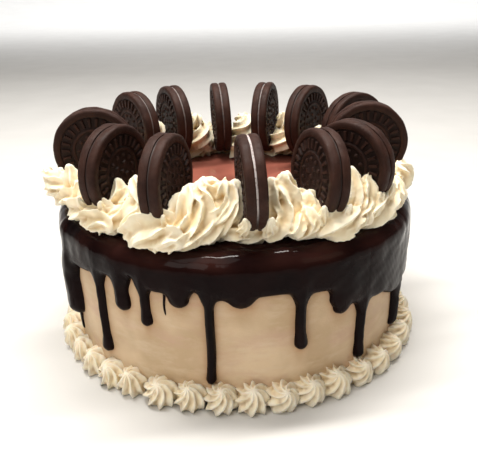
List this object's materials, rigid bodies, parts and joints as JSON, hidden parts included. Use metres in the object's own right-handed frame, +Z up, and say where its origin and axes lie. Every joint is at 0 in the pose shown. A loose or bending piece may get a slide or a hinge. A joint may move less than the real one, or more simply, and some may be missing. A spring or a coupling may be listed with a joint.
{
  "type": "cookies and cream drip cake",
  "caption": "Round frosted drip cake with a glossy chocolate glaze, a piped star border round its foot and sandwich biscuits standing in piped cream on top.",
  "frame": {"origin": "middle of the flat base that the cake rests on", "axes": "+Z up, -Y towards the front of the cake, +X to the right seen from the front"},
  "size_m": [0.1967, 0.1935, 0.1213],
  "materials": {
    "buttercream": "tan buttercream, satin, smoothed with a spatula, with faint smears",
    "chocolate_glaze": "near-black chocolate glaze, glossy, set",
    "piped_border": "pale buttercream, piped, satin",
    "whipped_cream": "warm white whipped cream, piped in sharp ridges, satin",
    "cocoa_wafer": "dark baked cocoa wafer with low relief, matt",
    "biscuit_filling": "pale vanilla filling, matt"
  },
  "bodies": {
    "root": {"cake": "buttercream", "glaze": "chocolate_glaze", "star_border": "piped_border", "biscuit_01_wafer_right": "cocoa_wafer", "biscuit_01_wafer_left": "cocoa_wafer", "biscuit_01_filling": "biscuit_filling", "biscuit_02_wafer_right": "cocoa_wafer", "biscuit_02_wafer_left": "cocoa_wafer", "biscuit_02_filling": "biscuit_filling", "biscuit_03_wafer_right": "cocoa_wafer", "biscuit_03_wafer_left": "cocoa_wafer", "biscuit_03_filling": "biscuit_filling", "biscuit_04_wafer_right": "cocoa_wafer", "biscuit_04_wafer_left": "cocoa_wafer", "biscuit_04_filling": "biscuit_filling", "biscuit_05_wafer_right": "cocoa_wafer", "biscuit_05_wafer_left": "cocoa_wafer", "biscuit_05_filling": "biscuit_filling", "biscuit_06_wafer_right": "cocoa_wafer", "biscuit_06_wafer_left": "cocoa_wafer", "biscuit_06_filling": "biscuit_filling", "biscuit_07_wafer_right": "cocoa_wafer", "biscuit_07_wafer_left": "cocoa_wafer", "biscuit_07_filling": "biscuit_filling", "biscuit_08_wafer_right": "cocoa_wafer", "biscuit_08_wafer_left": "cocoa_wafer", "biscuit_08_filling": "biscuit_filling", "biscuit_09_wafer_right": "cocoa_wafer", "biscuit_09_wafer_left": "cocoa_wafer", "biscuit_09_filling": "biscuit_filling", "biscuit_10_wafer_right": "cocoa_wafer", "biscuit_10_wafer_left": "cocoa_wafer", "biscuit_10_filling": "biscuit_filling", "biscuit_11_wafer_right": "cocoa_wafer", "biscuit_11_wafer_left": "cocoa_wafer", "biscuit_11_filling": "biscuit_filling", "biscuit_12_wafer_right": "cocoa_wafer", "biscuit_12_wafer_left": "cocoa_wafer", "biscuit_12_filling": "biscuit_filling", "biscuit_13_wafer_right": "cocoa_wafer", "biscuit_13_wafer_left": "cocoa_wafer", "biscuit_13_filling": "biscuit_filling", "cream_mound_01": "whipped_cream", "cream_mound_02": "whipped_cream", "cream_mound_03": "whipped_cream", "cream_mound_04": "whipped_cream", "cream_mound_05": "whipped_cream", "cream_mound_06": "whipped_cream", "cream_mound_07": "whipped_cream", "cream_mound_08": "whipped_cream", "cream_mound_09": "whipped_cream", "cream_mound_10": "whipped_cream", "cream_mound_11": "whipped_cream", "cream_mound_12": "whipped_cream", "cream_mound_13": "whipped_cream"}
  },
  "joints": []
}
